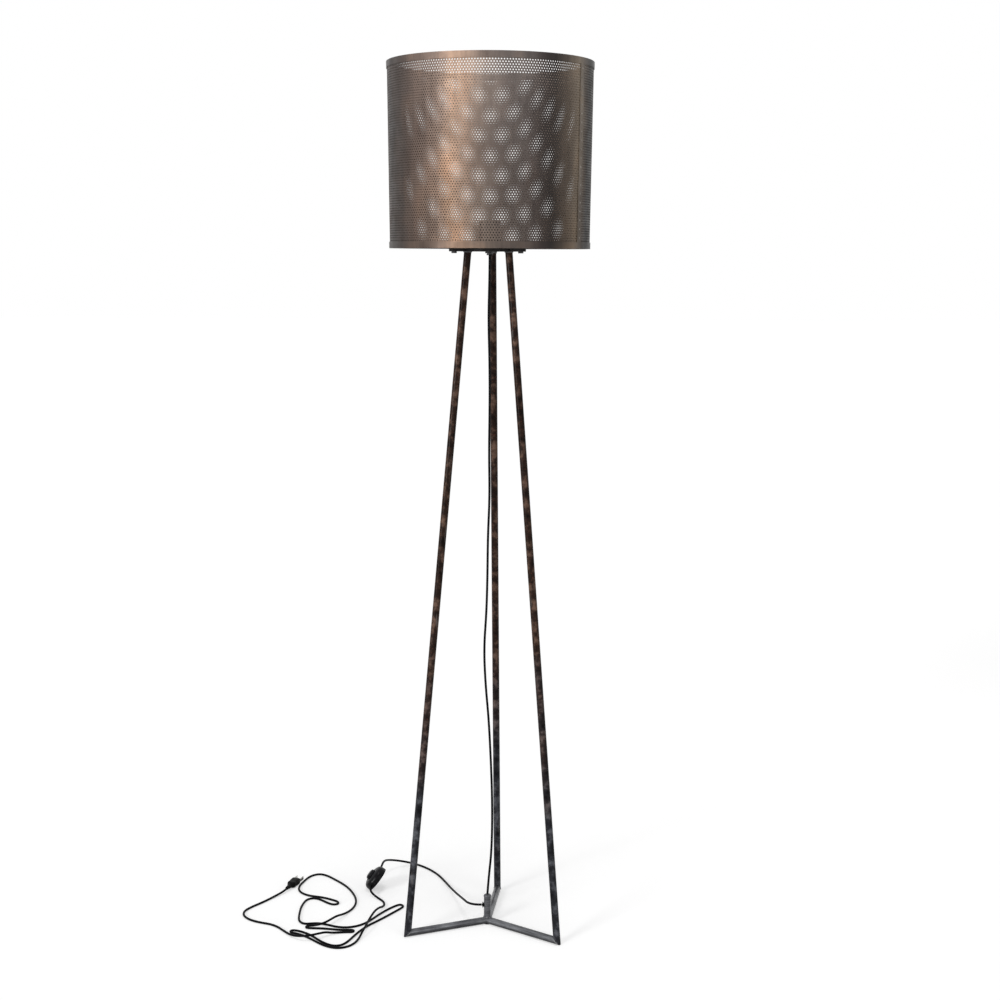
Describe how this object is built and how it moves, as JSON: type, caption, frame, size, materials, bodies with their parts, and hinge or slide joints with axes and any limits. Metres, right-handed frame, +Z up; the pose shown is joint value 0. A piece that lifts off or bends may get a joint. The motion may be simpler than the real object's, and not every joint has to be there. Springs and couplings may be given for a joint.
{
  "type": "floor lamp",
  "caption": "Floor lamp: perforated steel drum shade bolted over three leaning welded tubes and a radial tube base, with a hanging cord, a foot switch and a plug.",
  "frame": {"origin": "on the floor, on the common axis of the shade and the short middle post", "axes": "+Z up, +X to the right and +Y away from someone facing the lamp"},
  "size_m": [0.6389, 0.4722, 1.553],
  "materials": {
    "tube_steel": "dark waxed bare steel, brown-black with bluish scale",
    "bar_steel": "ground bare steel, clear sealed",
    "weld_steel": "ground weld bead",
    "plate_steel": "dark waxed steel plate",
    "shade_steel": "perforated steel sheet, bronze-grey patina",
    "band_steel": "plain steel band, brown heat patina",
    "rivet_steel": "domed rivet heads",
    "fastener_steel": "zinc plated steel",
    "holder_metal": "dark bronze finish",
    "liner_card": "pressed insulating card",
    "phenolic": "moulded phenolic",
    "brass": "bare brass",
    "black_plastic": "black moulded plastic",
    "button_plastic": "black moulded plastic",
    "black_rubber": "black flexible moulding",
    "blade_metal": "nickel plated brass",
    "spring_steel": "spring wire",
    "cord_black": "black flexible jacket"
  },
  "bodies": {
    "lamp": {"leg_back": "tube_steel", "leg_left": "tube_steel", "leg_right": "tube_steel", "base_bar_back": "bar_steel", "base_bar_left": "bar_steel", "base_bar_right": "bar_steel", "hub_post": "bar_steel", "post_cap": "bar_steel", "post_grommet": "black_rubber", "foot_welds": "weld_steel", "leg_top_welds": "weld_steel", "hub_weld": "weld_steel", "top_plate": "plate_steel", "shade_skin": "shade_steel", "shade_bottom_band": "band_steel", "shade_top_band": "band_steel", "shade_seam_lap": "band_steel", "seam_rivets": "rivet_steel", "shade_spider": "plate_steel", "plate_bolts": "fastener_steel", "plate_washers": "fastener_steel", "plate_nuts": "fastener_steel", "threaded_stem": "fastener_steel", "stem_nut_lower": "fastener_steel", "stem_nut_upper": "fastener_steel", "stem_bushing": "black_plastic", "lampholder_cap": "holder_metal", "lampholder_shell": "holder_metal", "lampholder_liner": "liner_card", "lampholder_block": "phenolic", "screw_shell": "brass", "centre_contact": "brass", "terminal_screws": "brass", "switch_base": "black_plastic", "switch_cover": "black_plastic", "switch_mechanism": "phenolic", "switch_screws": "fastener_steel", "switch_spring": "spring_steel", "plug_body": "black_rubber", "plug_blades": "blade_metal", "riser_cord": "cord_black", "post_cord": "cord_black", "switch_lead": "cord_black", "plug_lead": "cord_black", "stem_cord": "cord_black"},
    "button": {"switch_button": "button_plastic"}
  },
  "joints": [
    {"name": "button_press", "type": "slide", "parent": "lamp", "child": "button", "axis": [-0.7826, 0, 0.6225], "range_m": [-0.003, 0], "stiffness_N_per_m": 400, "springref_m": 0.0015, "deforming": ["switch_spring"]}
  ]
}
